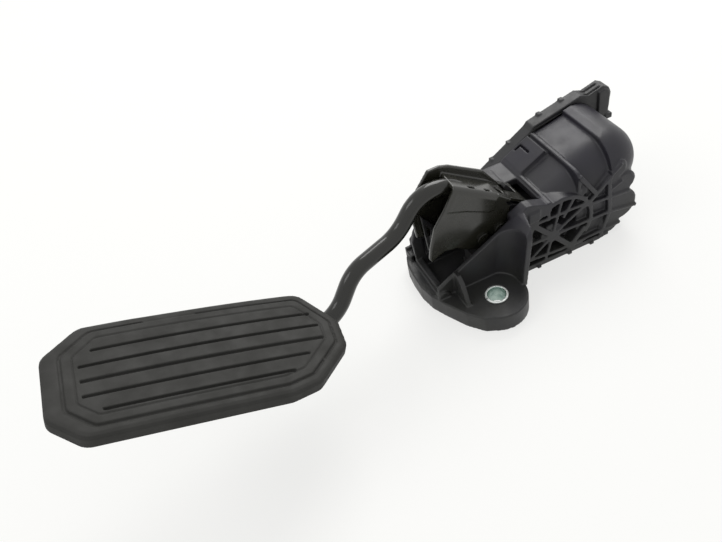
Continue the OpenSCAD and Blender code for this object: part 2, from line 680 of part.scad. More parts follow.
// Pressed steel arm: two cheeks and the top between them
module pressed_arm() {
    color([0.17, 0.17, 0.14])
    difference() {
        union() {
            side(arm_y0, arm_y0 + arm_t) cheek_near();
            side(arm_y1 - arm_t, arm_y1) cheek_far();
            side(arm_y0, arm_y1) polygon([q(-7.1, 70.2), q(16.2, 54.3), q(22.7, 48.2), q(21.7, 46.6),
                q(15.2, 52.6), q(-8.1, 68.5)]);
            side(arm_y0 + 2.4, arm_y1 + 3.6) polygon([q(14.2, 55.7), q(22.7, 48.2), q(32.6, 40.8), q(31.6, 39.4),
                q(21.7, 46.4), q(13.2, 54.1)]);
            // Shallow pressed step across the near cheek
            side(arm_y0 - 0.25, arm_y0) polygon([q(-12.6, 57.4), q(-3, 53.6), q(10, 46.6), q(12.4, 46.8),
                q(14.4, 52.8), q(12, 54.6), q(-6.6, 67.4)]);
        }
        for (p = [[5.4, 30.6], [15.4, 32.6]])
            pin(q(p[0], p[1]), 2.5, yn, yf);
        // Bend along the upper edge of the near cheek
        translate([-7.1 * kx, arm_y0, 70.2 * kz]) rotate([0, atan(15.9 * kz / (23.3 * kx)), 0]) across(-9, 27.6)
            difference() {
                translate([-1, -3]) square([4, 4]);
                translate([2.9, -2.9]) circle(3, $fn = 64);
            }
        // Round hole and two slots in the top
        translate([19.2 * kx, arm_y0 + 6.4, 51.6 * kz]) rotate([0, 37, 0]) cylinder(h = 8, r = arm_hole_r, center = true);
        translate([3.2 * kx, arm_y0 + 3.6, 63.2 * kz]) rotate([0, 34, 0]) cube([4.4, 1.8, 8], center = true);
        translate([11.4 * kx, arm_y0 + 3.2, 57.6 * kz]) rotate([0, 34, 0]) cube([3.6, 1.6, 8], center = true);
        // Slot for the hook
        translate([27 * kx, yn + 19.7, 45.2 * kz]) rotate([0, 37, 0]) cube([9.4, 6.2, 9], center = true);
    }
}

// Rivets through arm and hub
module arm_rivets() {
    color([0.17, 0.17, 0.14])
    for (p = [[5.4, 30.6], [15.4, 32.6]]) {
        pin(q(p[0], p[1]), 2.5, arm_y0 - 0.2, arm_y1 + 0.2);
        pin(q(p[0], p[1]), 3.6, arm_y0 - 1.2, arm_y0);
        pin(q(p[0], p[1]), 3.6, arm_y1, arm_y1 + 1.2);
    }
}

// Round bar along a path of points, with round bends of radius r
function unit(v) = v / norm(v);
function bend_dir(p, i) = unit(p[i + 1] - p[i]);
function bend_angle(p, i) = acos(bend_dir(p, i - 1) * bend_dir(p, i));
function bend_cut(p, i, r) = i == 0 || i == len(p) - 1 ? 0 : r * tan(bend_angle(p, i) / 2);
module round_path(p, d, r) {
    for (i = [0:len(p) - 2]) {
        u = bend_dir(p, i);
        a = p[i] + u * bend_cut(p, i, r);
        l = norm(p[i + 1] - p[i]) - bend_cut(p, i, r) - bend_cut(p, i + 1, r);
        t = acos(u[2]);
        f = atan2(u[1], u[0]);
        b = i == 0 ? 0 : lap;
        e = i == len(p) - 2 ? 0 : lap;
        translate(a - u * b) rotate([0, t, f]) cylinder(h = l + b + e, d = d);
    }
    for (i = [1:len(p) - 2]) {
        u = bend_dir(p, i - 1);
        a = bend_angle(p, i);
        m = unit(bend_dir(p, i) - u);
        c = p[i] + m * (r / cos(a / 2));
        s = p[i] - u * bend_cut(p, i, r);
        e = unit(s - c);
        n = cross(e, u);
        multmatrix([[e[0], u[0], n[0], c[0]], [e[1], u[1], n[1], c[1]], [e[2], u[2], n[2], c[2]], [0, 0, 0, 1]])
            rotate_extrude(angle = a, $fn = 96) translate([r, 0]) circle(d = d - 0.04, $fn = 48);
    }
}

// Place of the pad: its lower end on the top face
pad_x = -199.4 * kx;
pad_y = -10.5;
pad_z = 88.5 * kz;
rod_c = -pad_t - rod_d / 2 + 0.15;
function on_pad(u, v, w) = [pad_x + u * cos(pad_tilt) + w * sin(pad_tilt), pad_y + v,
    pad_z - u * sin(pad_tilt) + w * cos(pad_tilt)];
ku = pad_len / 125;
kv = pad_w / 59;

// Bent rod from the plate of the pad to the pressed arm
module bent_rod() {
    color([0.17, 0.17, 0.14]) {
        round_path([on_pad(64 * ku, 2.4, rod_c), on_pad(pad_len + 3.4, 17.8, rod_c - 0.6), [-66.4 * kx, 14.8, 51.4 * kz],
            [-38 * kx, 25, 52.4 * kz], [-16.1 * kx, arm_y0 + 8.9, 69.1 * kz], [9.9 * kx, arm_y0 + 8, 51.1 * kz]], rod_d, rod_bend);
    }
}

// Outline of the pad with cut corners, in from the outside by t
module pad_outline(t, r) {
    offset(r = r) offset(delta = -t - r)
        polygon([[0, 15.5 * kv], [15.5 * ku, pad_w / 2], [pad_len - 12.6 * ku, pad_w / 2 - 0.6],
            [pad_len, 8 * kv], [pad_len - 1.6, -8 * kv], [pad_len - 20 * ku, -26 * kv],
            [pad_len - 33 * ku, -pad_w / 2], [12.5 * ku, -pad_w / 2], [0, -17 * kv]]);
}

module pad_place() {
    translate([pad_x, pad_y, pad_z]) rotate([0, pad_tilt, 0]) children();
}

// Steel plate welded to the rod
module pad_plate() {
    color([0.2, 0.2, 0.17])
    pad_place() translate([0, 0, -pad_t]) linear_extrude(plate_t) pad_outline(7, 5, $fn = 40);
}

// Tread groove number i, cut across the raised field
module tread_groove(i) {
    v = 13.4 - groove_pitch * i;
    a = 13 + max(0, abs(v + 2.4) - 8) * 0.75;
    b = 114.6 - max(0, -v - 2) * 1.15 - max(0, v - 8) * 0.3;
    translate([a * ku, v * kv - groove_w / 2, -groove_d]) cube([(b - a) * ku, groove_w, groove_d + 1]);
}

// Rubber pad over the plate, with ring groove, inner step and tread
module pad_rubber() {
    color([0.29, 0.29, 0.28])
    pad_place() difference() {
        union() {
            translate([0, 0, -pad_t + 0.8]) linear_extrude(pad_t - 2.4) pad_outline(0, 7, $fn = 40);
            translate([0, 0, -pad_t]) linear_extrude(2) pad_outline(0.9, 7, $fn = 40);
            translate([0, 0, -2]) linear_extrude(1.2) pad_outline(0.8, 6.6, $fn = 40);
            translate([0, 0, -1]) linear_extrude(0.6) pad_outline(1.9, 6, $fn = 40);
            translate([0, 0, -1]) linear_extrude(1) pad_outline(5.4, 4, $fn = 40);
        }
        translate([0, 0, -pad_t - 1]) linear_extrude(plate_t + 1) pad_outline(7, 5, $fn = 40);
        // Ring groove and the step round the tread
        translate([0, 0, -1.2]) linear_extrude(3) difference() {
            pad_outline(4.2, 4.4, $fn = 40);
            pad_outline(5.2, 4, $fn = 40);
        }
        translate([0, 0, -0.5]) linear_extrude(3) difference() {
            pad_outline(8.6, 3.4, $fn = 40);
            pad_outline(9.8, 3, $fn = 40);
        }
        for (i = [0:4]) tread_groove(i);
    }
}

// Coil spring between z0 and z1, built from half turns
module coil(r, wire, turns, z0, z1) {
    p = (z1 - z0 - wire) / turns;
    t = atan(p / 4 / r);
    for (i = [0:2 * turns - 1])
        translate([0, 0, z0 + wire / 2 + p * (i / 2 + 0.25)])
            rotate([0, i % 2 == 0 ? t : -t, 0])
            rotate(i % 2 == 0 ? -1 : 179)
            rotate_extrude(angle = 182, $fn = 64) translate([r / cos(t), 0])
            circle(d = wire - (i % 2) * 0.08, $fn = 24);
}

module outer_spring() {
    color([0.6, 0.6, 0.62])
    translate([spring_x, spring_y, 0]) coil(spring_r, spring_wire, spring_turns, seat_z, roof_z);
}

module inner_spring() {
    color([0.6, 0.6, 0.62])
    translate([spring_x, spring_y, 0]) coil(inner_spring_r, inner_wire, spring_turns + 1, seat_z, roof_z);
}

// Moulded seat between the springs and the beam
module spring_seat() {
    color([0.75, 0.75, 0.72])
    translate([spring_x, spring_y, seat_z - 2]) {
        difference() {
            cylinder(h = 2, r = spring_r + 2.2);
            translate([0, 0, -1]) cylinder(h = 4, r = 1.6);
        }
        difference() {
            cylinder(h = 5, r = inner_spring_r - inner_wire / 2 - 0.4);
            translate([0, 0, -1]) cylinder(h = 8, r = 1.6);
        }
    }
}

// Block that drags on the hub
module friction_block() {
    color([0.55, 0.5, 0.4])
    difference() {
        translate([pivot[0] - 8, spring_y - 7, floor_z]) cube([16, 14, 6.4]);
        pin(pivot, hub_r + gap, yn, yf);
        translate([pivot[0] - 3, spring_y - 8, floor_z + 2.4]) cube([6, 16, 6]);
    }
}

// Rubber stop below the beam
module idle_stop() {
    color([0.12, 0.12, 0.12])
    translate([spring_x, spring_y, floor_z]) {
        cylinder(h = 4, r = 4);
        cylinder(h = 14.2 * kz - floor_z - gap, r = 3.2);
    }
}

// Height of a point of the lever at full travel
function pressed_z(p) = pivot[1] + (p[0] - pivot[0]) * sin(travel) + (p[1] - pivot[1]) * cos(travel);

// Rubber block below the nose of the hub
module full_travel_stop() {
    color([0.12, 0.12, 0.12])
    translate([0, arm_y0 + arm_t + 1.4, 0]) {
        translate([-1.4, 0, well_floor]) cube([9, arm_w - 2 * arm_t - 2.8, 2.4]);
        translate([0, 0, well_floor])
            cube([6.2, arm_w - 2 * arm_t - 2.8, pressed_z(q(2, 27)) - gap - 0.3 - well_floor]);
    }
}

housing_body();
sensor_case();
sensor_gasket();
sensor_board();
sensor_chips();
connector_terminals();
case_screws();
ear_sleeves();
pivot_shaft();
shaft_clip();
pivot_bushes();
lever_hub();
magnet_holder();
magnet_ring();
pressed_arm();
arm_rivets();
bent_rod();
pad_plate();
pad_rubber();
outer_spring();
inner_spring();
spring_seat();
friction_block();
idle_stop();
full_travel_stop();
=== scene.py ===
# %% [markdown]
# # An accelerator pedal, dressed for a studio photograph
# The solid model of the pedal comes in model.glb: every moulded, pressed and turned piece has its
# true size and place. This lesson loads it and gives each surface the finish of the real one. It
# also rebuilds in finer form what the eye meets first: the rubber pad, the pressed arm, the sensor
# case, the housing, the rolled sleeves, the bent rod and the springs.
# All lengths are metres, and the origin is the centre of the near bolt hole on the mounting face.

# %% Load the imported model
import json
import math

import bmesh
import bpy
from mathutils import Matrix, Vector


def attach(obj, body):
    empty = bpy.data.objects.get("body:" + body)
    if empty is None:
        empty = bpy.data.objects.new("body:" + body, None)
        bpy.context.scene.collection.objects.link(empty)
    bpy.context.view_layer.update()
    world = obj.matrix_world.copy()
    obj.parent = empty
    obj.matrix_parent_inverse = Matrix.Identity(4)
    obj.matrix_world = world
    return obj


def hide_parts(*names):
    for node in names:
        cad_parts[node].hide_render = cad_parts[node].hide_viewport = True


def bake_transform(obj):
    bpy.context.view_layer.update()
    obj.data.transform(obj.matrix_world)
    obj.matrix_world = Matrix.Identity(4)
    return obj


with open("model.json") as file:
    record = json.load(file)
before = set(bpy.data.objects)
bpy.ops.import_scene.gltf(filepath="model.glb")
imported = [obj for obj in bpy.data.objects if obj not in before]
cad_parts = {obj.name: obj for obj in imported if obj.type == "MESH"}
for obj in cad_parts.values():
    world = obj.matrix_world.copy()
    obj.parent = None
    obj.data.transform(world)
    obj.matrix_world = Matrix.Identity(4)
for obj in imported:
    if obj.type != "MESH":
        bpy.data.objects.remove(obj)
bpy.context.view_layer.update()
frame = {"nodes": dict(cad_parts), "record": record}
nodes = frame["nodes"]
scene = bpy.context.scene
scene.view_settings.view_transform = "Standard"
mm = 0.001

# %% [markdown]
# ## The camera
# The photograph looks down on the pedal from the pad's side, with the camera rolled a little, so
# that the unit runs from the lower left to the upper right. Its place and lens were worked out
# from the straight edges of the housing and the round mouth of the steel sleeve. A camera's
# matrix is simply its right, up and backward directions as columns, with its place as the fourth.

# %% Camera at the photograph's viewing angle
PICTURE_WIDTH, FOCAL_LENGTH = 722.0, 698.0      # both in pixels of the photograph
SENSOR_WIDTH = 36.0                             # in mm, as Blender counts a lens
CAMERA_PLACE = Vector((-0.1127, -0.2148, 0.2809))
CAMERA_RIGHT = Vector((0.9042, -0.3850, -0.1850))
CAMERA_BACK = Vector((-0.1534, -0.6970, 0.7005))


def photo_camera():
    data = bpy.data.cameras.new("photo_camera")
    data.sensor_fit = "HORIZONTAL"
    data.sensor_width = SENSOR_WIDTH
    data.lens = FOCAL_LENGTH / PICTURE_WIDTH * SENSOR_WIDTH
    data.clip_start, data.clip_end = 0.01, 20
    back = CAMERA_BACK.normalized()
    up = back.cross(CAMERA_RIGHT.normalized()).normalized()
    right = up.cross(back)
    turn = Matrix((right, up, back)).transposed().to_4x4()
    camera = bpy.data.objects.new("photo_camera", data)
    camera.matrix_world = Matrix.Translation(CAMERA_PLACE) @ turn
    scene.collection.objects.link(camera)
    scene.camera = camera


photo_camera()
print("lens:", round(scene.camera.data.lens, 2), "mm")

# %% [markdown]
# ## Light and floor
# The original stands on white paper under broad, soft light. Most of the light comes from all
# round, from a white world. A large softbox behind the unit and to its right draws the highlights
# on the rounded tops and throws the pale shadow forwards, and a small weak one on the far left
# opens up the shaded side.
#
# A camera ray, a mirror ray and a ray through glass should see plain white paper. The Light Path
# node tells them apart from the soft rays that carry light and shadow: the world is pure white to
# them, and the paper shows them its own shading mixed with a large share of even white.

# %% Floor, world and lamps
FLOOR_HALF, FLOOR_DROP = 3.0, 0.2 * mm          # the paper lies a hair below the mounting face
PAPER_TONE = (0.90, 0.90, 0.88, 1)
PAPER_WHITE = (1, 1, 0.99, 1)
PAPER_LIFT = 0.68                               # share of even white that the camera sees
WORLD_TONE, WORLD_STRENGTH = (1.0, 1.0, 0.985, 1), 0.64
WARM_WHITE, WHITE = (1, 0.995, 0.98), (1, 1, 1)
AIM = (-0.04, 0.0, 0.0)                         # both softboxes look at this point


def link(tree, source, output, target, socket):
    tree.links.new(source.outputs[output], target.inputs[socket])


def seen_directly(tree, share=1.0):
    """share for rays that show the backdrop itself (camera, mirror and glass), 0 for soft light."""
    path = tree.nodes.new("ShaderNodeLightPath")
    mirrored = tree.nodes.new("ShaderNodeMath")
    direct = tree.nodes.new("ShaderNodeMath")
    part = tree.nodes.new("ShaderNodeMath")
    mirrored.operation = direct.operation = "MAXIMUM"
    part.operation = "MULTIPLY"
    part.inputs[1].default_value = share
    link(tree, path, "Is Camera Ray", mirrored, 0)
    link(tree, path, "Is Glossy Ray", mirrored, 1)
    link(tree, mirrored, 0, direct, 0)
    link(tree, path, "Is Transmission Ray", direct, 1)
    link(tree, direct, 0, part, 0)
    return part


def paper_floor():
    mesh = bpy.data.meshes.new("paper_floor")
    corners = [(-1, -1), (1, -1), (1, 1), (-1, 1)]
    mesh.from_pydata([(x * FLOOR_HALF, y * FLOOR_HALF, 0) for x, y in corners], [], [(0, 1, 2, 3)])
    floor = bpy.data.objects.new("paper_floor", mesh)
    scene.collection.objects.link(floor)
    floor.location.z = -FLOOR_DROP
    material = bpy.data.materials.new("white_paper")
    material.use_nodes = True
    tree = material.node_tree
    paper = tree.nodes["Principled BSDF"]
    paper.inputs["Base Color"].default_value = PAPER_TONE
    paper.inputs["Roughness"].default_value = 0.9
    paper.inputs["Specular IOR Level"].default_value = 0.1
    white = tree.nodes.new("ShaderNodeEmission")
    white.inputs["Color"].default_value = PAPER_WHITE
    white.inputs["Strength"].default_value = 1.0
    mix = tree.nodes.new("ShaderNodeMixShader")
    link(tree, seen_directly(tree, PAPER_LIFT), 0, mix, 0)
    link(tree, paper, 0, mix, 1)
    link(tree, white, 0, mix, 2)
    link(tree, mix, 0, tree.nodes["Material Output"], 0)
    mesh.materials.append(material)


def background(tree, tone, strength):
    node = tree.nodes.new("ShaderNodeBackground")
    node.inputs["Color"].default_value = tone
    node.inputs["Strength"].default_value = strength
    return node


def studio_world():
    world = bpy.data.worlds.new("studio_world")
    scene.world = world
    world.use_nodes = True
    tree = world.node_tree
    tree.nodes.clear()
    mix = tree.nodes.new("ShaderNodeMixShader")
    out = tree.nodes.new("ShaderNodeOutputWorld")
    link(tree, seen_directly(tree), 0, mix, 0)
    link(tree, background(tree, WORLD_TONE, WORLD_STRENGTH), 0, mix, 1)
    link(tree, background(tree, (*WHITE, 1), 1.0), 0, mix, 2)
    link(tree, mix, 0, out, 0)


def softbox(name, place, side, power, colour):
    """A square area lamp, side metres wide, that looks at AIM."""
    data = bpy.data.lights.new(name, "AREA")
    data.shape = "RECTANGLE"
    data.size = data.size_y = side
    data.energy = power
    data.color = colour
    lamp = bpy.data.objects.new(name, data)
    lamp.location = place
    lamp.rotation_euler = (Vector(AIM) - Vector(place)).to_track_quat("-Z", "Y").to_euler()
    scene.collection.objects.link(lamp)


paper_floor()
studio_world()
softbox("right_softbox", place=(0.52, 0.82, 1.0), side=0.85, power=11, colour=WARM_WHITE)
softbox("left_softbox", place=(-0.80, 0.15, 0.95), side=0.45, power=1.6, colour=WHITE)

# %% [markdown]
# ## Finishes
# A finish is more than a colour. Moulded nylon has a fine eroded grain and slow changes of tone,
# black lacquer on steel has a faint orange peel, rubber is matt with a fine stipple. One builder
# makes them all: it mixes two tones with a broad noise, lets a second noise change the roughness,
# and feeds a fine grain and a softened edge normal into the shader. Everything is read from
# Object coordinates, which are metres on the finished piece.

# %% One builder for all procedural finishes
NOISE_ROUGH = 0.55          # how much of a noise is in its finer layers
NOISE_LOW, NOISE_HIGH = 0.35, 0.65              # most of a noise lies between these values
GLOSS_FINER = 2.6           # the noise of the gloss is this much finer than that of the tone
# the height share paints a lilac sheen onto the tops, in place of their highlights; the noise share
# is random tone
RISE_NOISE, SHEEN_HEIGHT = 0.4, 0.6              # shares of noise and of height in a rising tone
BEVEL_SAMPLES = 6


def noise(tree, coords, scale, detail=4.0):
    """A noise in the piece's own coordinates."""
    node = tree.nodes.new("ShaderNodeTexNoise")
    node.inputs["Scale"].default_value = scale
    node.inputs["Detail"].default_value = detail
    node.inputs["Roughness"].default_value = NOISE_ROUGH
    link(tree, coords, "Object", node, "Vector")
    return node


def spread(tree, source, low, high):
    """Stretches a noise to the range from low to high."""
    node = tree.nodes.new("ShaderNodeMapRange")
    node.inputs["From Min"].default_value = NOISE_LOW
    node.inputs["From Max"].default_value = NOISE_HIGH
    node.inputs["To Min"].default_value = low
    node.inputs["To Max"].default_value = high
    link(tree, source, "Fac", node, "Value")
    return node


def with_painted_sheen(tree, coords, share, sheen_heights):
    """Adds to share a part that grows with the height of the point: painted lilac sheen on the
    tops.
    """
    split = tree.nodes.new("ShaderNodeSeparateXYZ")
    height = tree.nodes.new("ShaderNodeMapRange")
    total = tree.nodes.new("ShaderNodeMath")
    height.inputs["From Min"].default_value, height.inputs["From Max"].default_value = sheen_heights
    height.inputs["To Max"].default_value = SHEEN_HEIGHT
    link(tree, coords, "Object", split, 0)
    link(tree, split, "Z", height, "Value")
    link(tree, share, 0, total, 0)
    link(tree, height, 0, total, 1)
    return total


def finish(name, tone, tone2, rough, grain, metallic=0.0, edge=0.4 * mm, blotch=45.0,
           specular=0.45, coat=0.0, coat_rough=0.2, sheen_heights=None):
    """tone and tone2 are the two colours, rough the roughness range, grain (scale, height in m).
    With sheen_heights=(low, high) the second tone takes over between these heights: a painted lilac
    sheen on the tops."""
    material = bpy.data.materials.new(name)
    material.use_nodes = True
    tree = material.node_tree
    shader = tree.nodes["Principled BSDF"]
    coords = tree.nodes.new("ShaderNodeTexCoord")

    mix = tree.nodes.new("ShaderNodeMix")
    mix.data_type = "RGBA"
    mix.inputs[6].default_value = (*tone, 1)
    mix.inputs[7].default_value = (*tone2, 1)
    share = spread(tree, noise(tree, coords, blotch), 0, RISE_NOISE if sheen_heights else 1)
    if sheen_heights:
        share = with_painted_sheen(tree, coords, share, sheen_heights)
    link(tree, share, 0, mix, 0)
    link(tree, mix, 2, shader, "Base Color")

    gloss = spread(tree, noise(tree, coords, blotch * GLOSS_FINER, 3.0), *rough)
    link(tree, gloss, 0, shader, "Roughness")

    scale, height = grain
    bump = tree.nodes.new("ShaderNodeBump")
    bump.inputs["Strength"].default_value = 1.0
    bump.inputs["Distance"].default_value = height
    link(tree, noise(tree, coords, scale, 2.0), "Fac", bump, "Height")
    if edge:
        soft = tree.nodes.new("ShaderNodeBevel")
        soft.samples = BEVEL_SAMPLES
        soft.inputs["Radius"].default_value = edge
        link(tree, soft, "Normal", bump, "Normal")
    link(tree, bump, "Normal", shader, "Normal")

    shader.inputs["Metallic"].default_value = metallic
    shader.inputs["Specular IOR Level"].default_value = specular
    shader.inputs["Coat Weight"].default_value = coat
    shader.inputs["Coat Roughness"].default_value = coat_rough
    return material


# %% [markdown]
# The tones below were chosen against the photograph: the housing is a warm black whose tops are
# painted towards a lilac grey, a painted sheen, the steel a black with a trace of olive, the rubber
# a flat charcoal.
# Each row gives two tones, the range of the roughness and the grain as scale and height.

# %% The finishes of this pedal
FINISHES = {
    # mouldings
    # the housing's tops turn lilac grey: painted sheen that stands in for their highlights
    "dark_nylon": dict(tone=(0.026, 0.0265, 0.0245), tone2=(0.0205, 0.0192, 0.027),
                       rough=(0.34, 0.46), grain=(2600, 0.04 * mm), edge=0.6 * mm,
                       specular=0.34, sheen_heights=(12 * mm, 46 * mm)),
    "case_nylon": dict(tone=(0.018, 0.018, 0.019), tone2=(0.023, 0.023, 0.0245),
                       rough=(0.42, 0.54), grain=(2600, 0.04 * mm), edge=0.5 * mm,
                       specular=0.4),
    # lacquered steel
    "black_steel": dict(tone=(0.014, 0.0138, 0.0098), tone2=(0.019, 0.0187, 0.0140),
                        rough=(0.20, 0.30), grain=(500, 0.01 * mm), edge=0.6 * mm,
                        coat=0.3, coat_rough=0.12),
    "rod_lacquer": dict(tone=(0.0085, 0.0084, 0.0062), tone2=(0.0125, 0.0123, 0.0095),
                        rough=(0.22, 0.32), grain=(400, 0.008 * mm), edge=0,
                        specular=0.2, coat=0.55, coat_rough=0.05),
    "plate_steel": dict(tone=(0.012, 0.012, 0.009), tone2=(0.018, 0.018, 0.014),
                        rough=(0.35, 0.5), grain=(700, 0.03 * mm)),
    # the pad
    "pad_rubber": dict(tone=(0.028, 0.0277, 0.0258), tone2=(0.035, 0.0346, 0.0325),
                       rough=(0.62, 0.78), grain=(3200, 0.05 * mm), edge=0.5 * mm,
                       specular=0.25),
    # plated and bare metal
    "zinc_sleeve": dict(tone=(0.84, 0.88, 0.86), tone2=(0.92, 0.94, 0.92),
                        rough=(0.30, 0.45), grain=(1500, 0.03 * mm), metallic=0.3, edge=0),
    # the bore: a darker teal, painted shade inside the hole
    "bore_painted_shade": dict(tone=(0.20, 0.29, 0.26), tone2=(0.42, 0.52, 0.47),
                        rough=(0.24, 0.36), grain=(1500, 0.03 * mm), metallic=1.0, edge=0,
                        blotch=260.0),
    "zinc_screw": dict(tone=(0.58, 0.59, 0.58), tone2=(0.68, 0.69, 0.68),
                       rough=(0.28, 0.4), grain=(1800, 0.02 * mm), metallic=1.0),
    "ground_steel": dict(tone=(0.5, 0.5, 0.51), tone2=(0.6, 0.6, 0.61),
                         rough=(0.25, 0.38), grain=(2400, 0.01 * mm), metallic=1.0),
    "spring_steel": dict(tone=(0.34, 0.34, 0.35), tone2=(0.42, 0.42, 0.43),
                         rough=(0.3, 0.45), grain=(1800, 0.01 * mm), metallic=1.0, edge=0),
    "bush_bronze": dict(tone=(0.55, 0.4, 0.2), tone2=(0.65, 0.48, 0.27),
                        rough=(0.3, 0.45), grain=(2000, 0.02 * mm), metallic=1.0),
    # what sits inside the housing
    "hub_nylon": dict(tone=(0.012, 0.012, 0.013), tone2=(0.017, 0.017, 0.018),
                      rough=(0.4, 0.52), grain=(2400, 0.04 * mm)),
    "holder_nylon": dict(tone=(0.09, 0.09, 0.1), tone2=(0.12, 0.12, 0.13),
                         rough=(0.42, 0.55), grain=(2400, 0.03 * mm)),
    "magnet": dict(tone=(0.1, 0.1, 0.11), tone2=(0.13, 0.13, 0.14),
                   rough=(0.35, 0.5), grain=(2000, 0.03 * mm), metallic=0.6),
    "seat_nylon": dict(tone=(0.66, 0.66, 0.61), tone2=(0.74, 0.73, 0.69),
                       rough=(0.4, 0.5), grain=(2400, 0.03 * mm)),
    "friction_nylon": dict(tone=(0.36, 0.31, 0.22), tone2=(0.44, 0.39, 0.28),
                           rough=(0.5, 0.6), grain=(2400, 0.03 * mm)),
    "stop_rubber": dict(tone=(0.02, 0.02, 0.02), tone2=(0.03, 0.03, 0.03),
                        rough=(0.65, 0.8), grain=(3000, 0.05 * mm)),
    "seal_rubber": dict(tone=(0.010, 0.010, 0.010), tone2=(0.016, 0.016, 0.016),
                        rough=(0.6, 0.75), grain=(3000, 0.04 * mm)),
    "board": dict(tone=(0.02, 0.13, 0.05), tone2=(0.03, 0.17, 0.07),
                  rough=(0.25, 0.35), grain=(2200, 0.01 * mm)),
    "chip": dict(tone=(0.015, 0.015, 0.015), tone2=(0.025, 0.025, 0.025),
                 rough=(0.45, 0.6), grain=(3000, 0.02 * mm)),
    "tinned_brass": dict(tone=(0.72, 0.62, 0.36), tone2=(0.8, 0.72, 0.45),
                         rough=(0.2, 0.3), grain=(2000, 0.01 * mm), metallic=1.0),
}
looks = {name: finish(name, **values) for name, values in FINISHES.items()}
slot_of = {row["node"]: row["material_slot"] for row in frame["record"]["subparts"]}


def dress(obj, look):
    obj.data.materials.clear()
    obj.data.materials.append(looks[look])


for name, obj in nodes.items():
    dress(obj, slot_of[name])
print("finishes:", len(looks))

# %% [markdown]
# ## Rounding what comes out of a mould or a press
# A solid model has knife-sharp edges, a real rubber pad or moulded case has none. The pieces that
# show most are copied, filled with small cubes (a voxel remesh) and then relaxed, which rounds
# every edge, inside and outside, by about the size of a cube. Small faces on flat stretches are
# then joined again. A piece that lies askew in the model is turned straight first, so that the
# cubes line up with its edges and grooves.

# %% A rounded copy of a solid
SAME_POINT = 0.001 * mm     # corners closer than this are one corner
BODY_OF = {name: body for body, names in frame["record"]["behaviour"]["bodies"].items()
           for name in names}


def baked(obj):
    """Makes the evaluated object a plain mesh, with its modifiers gone."""
    graph = bpy.context.evaluated_depsgraph_get()
    graph.update()
    mesh = bpy.data.meshes.new_from_object(obj.evaluated_get(graph))
    obj.modifiers.clear()
    obj.data = mesh


def merged_copy(name, piece):
    """A copy of a node's mesh whose faces share their corners."""
    mesh = nodes[name].data.copy()
    shape = bmesh.new()
    shape.from_mesh(mesh)
    bmesh.ops.remove_doubles(shape, verts=shape.verts, dist=SAME_POINT)
    shape.to_mesh(mesh)
    shape.free()
    obj = bpy.data.objects.new(piece, mesh)
    scene.collection.objects.link(obj)
    return obj


def rounded(name, piece, voxel, relax, keep, straighten=None, reshape=None):
    """Replaces a node by a rounded copy made of voxels, relaxed so many times, with the share keep
    of its faces. straighten is the frame in which the piece lies straight, and reshape may move
    the points there."""
    obj = merged_copy(name, piece)
    if straighten:
        obj.data.transform(straighten.inverted())
    fill = obj.modifiers.new("fill", "REMESH")
    fill.mode, fill.voxel_size = "VOXEL", voxel
    ease = obj.modifiers.new("ease", "SMOOTH")
    ease.factor, ease.iterations = 0.5, relax
    thin = obj.modifiers.new("thin", "DECIMATE")
    thin.ratio = keep
    baked(obj)
    if reshape:
        reshape(obj.data.vertices)
    if straighten:
        obj.data.transform(straighten)
    obj.data.shade_smooth()
    dress(obj, slot_of[name])
    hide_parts(name)
    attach(obj, BODY_OF[name])
    print(piece, "triangles:", sum(len(p.vertices) - 2 for p in obj.data.polygons))


# %% [markdown]
# The pad is rubber pressed over a steel plate. Its rim is a soft roll, a groove runs round it, and
# the raised field inside has five long grooves across the foot.
#
# Hot rubber never comes out quite flat: the tread is crowned a little along its length, and the
# far edge bows out, so the long grooves look like shallow arcs. The underside stays on its plate.
#
# The rim is broader at the toe end: there the two ring lines are drawn inwards, by an amount that
# depends on how far a point lies inside the outline.
#
# The pad has a frame of its own: u runs along the tread, v across it and w up from it, in mm, with
# the origin on the tread in the middle of the toe end.

# %% Rubber pad
PAD_CORNER = Vector((-0.1994, -0.0105, 0.0885))
PAD_TILT = math.radians(20)
CROWN, CROWN_FALL = 1.3 * mm, 0.6               # height, and the share of it lost at the sides
BOW, BOW_FROM = 1.8 * mm, -0.4                  # shift of the far edge, and where across it starts
OUTLINE = [(0, 15.5), (15.5, 29.5), (112.4, 28.9), (125, 8), (123.4, -8), (105, -26), (92, -29.5),
           (12.5, -29.5), (0, -17)]             # corners (u, v) in mm
DRAW_IN = [(0, 0), (1.5, 0), (4.7, 2.8), (9.2, 3.0), (14, 0.5), (18, 0)]    # (inset, shift) in mm
BROAD_END, BROAD_FADE = 48, 22                  # the broad rim ends at this u, and fades before it
RIM_FOOT, RIM_RISE = -3, 1.5                    # drawing in starts at this w, full so much higher


def clamped(share):
    return min(1, max(0, share))


def inset(u, v):
    """How far inside the pad's outline a point lies, in mm."""
    edges = zip(OUTLINE, OUTLINE[1:] + OUTLINE[:1])
    return min(((v0 - v) * (u1 - u0) - (u0 - u) * (v1 - v0)) / math.hypot(u1 - u0, v1 - v0)
               for (u0, v0), (u1, v1) in edges)


def drawn_in(depth):
    """The shift that belongs to an inset, read from DRAW_IN."""
    for (d0, s0), (d1, s1) in zip(DRAW_IN, DRAW_IN[1:]):
        if d0 <= depth < d1:
            return s0 + (s1 - s0) * (depth - d0) / (d1 - d0)
    return 0.0


def broad_rim(vertices):
    """Draws the two ring lines of the rim inwards at the toe end."""
    for vertex in vertices:
        u, v, w = vertex.co / mm
        share = clamped((BROAD_END - u) / BROAD_FADE) * clamped((w - RIM_FOOT) / RIM_RISE)
        if share > 0:
            vertex.co.x += drawn_in(inset(u, v)) * share * mm


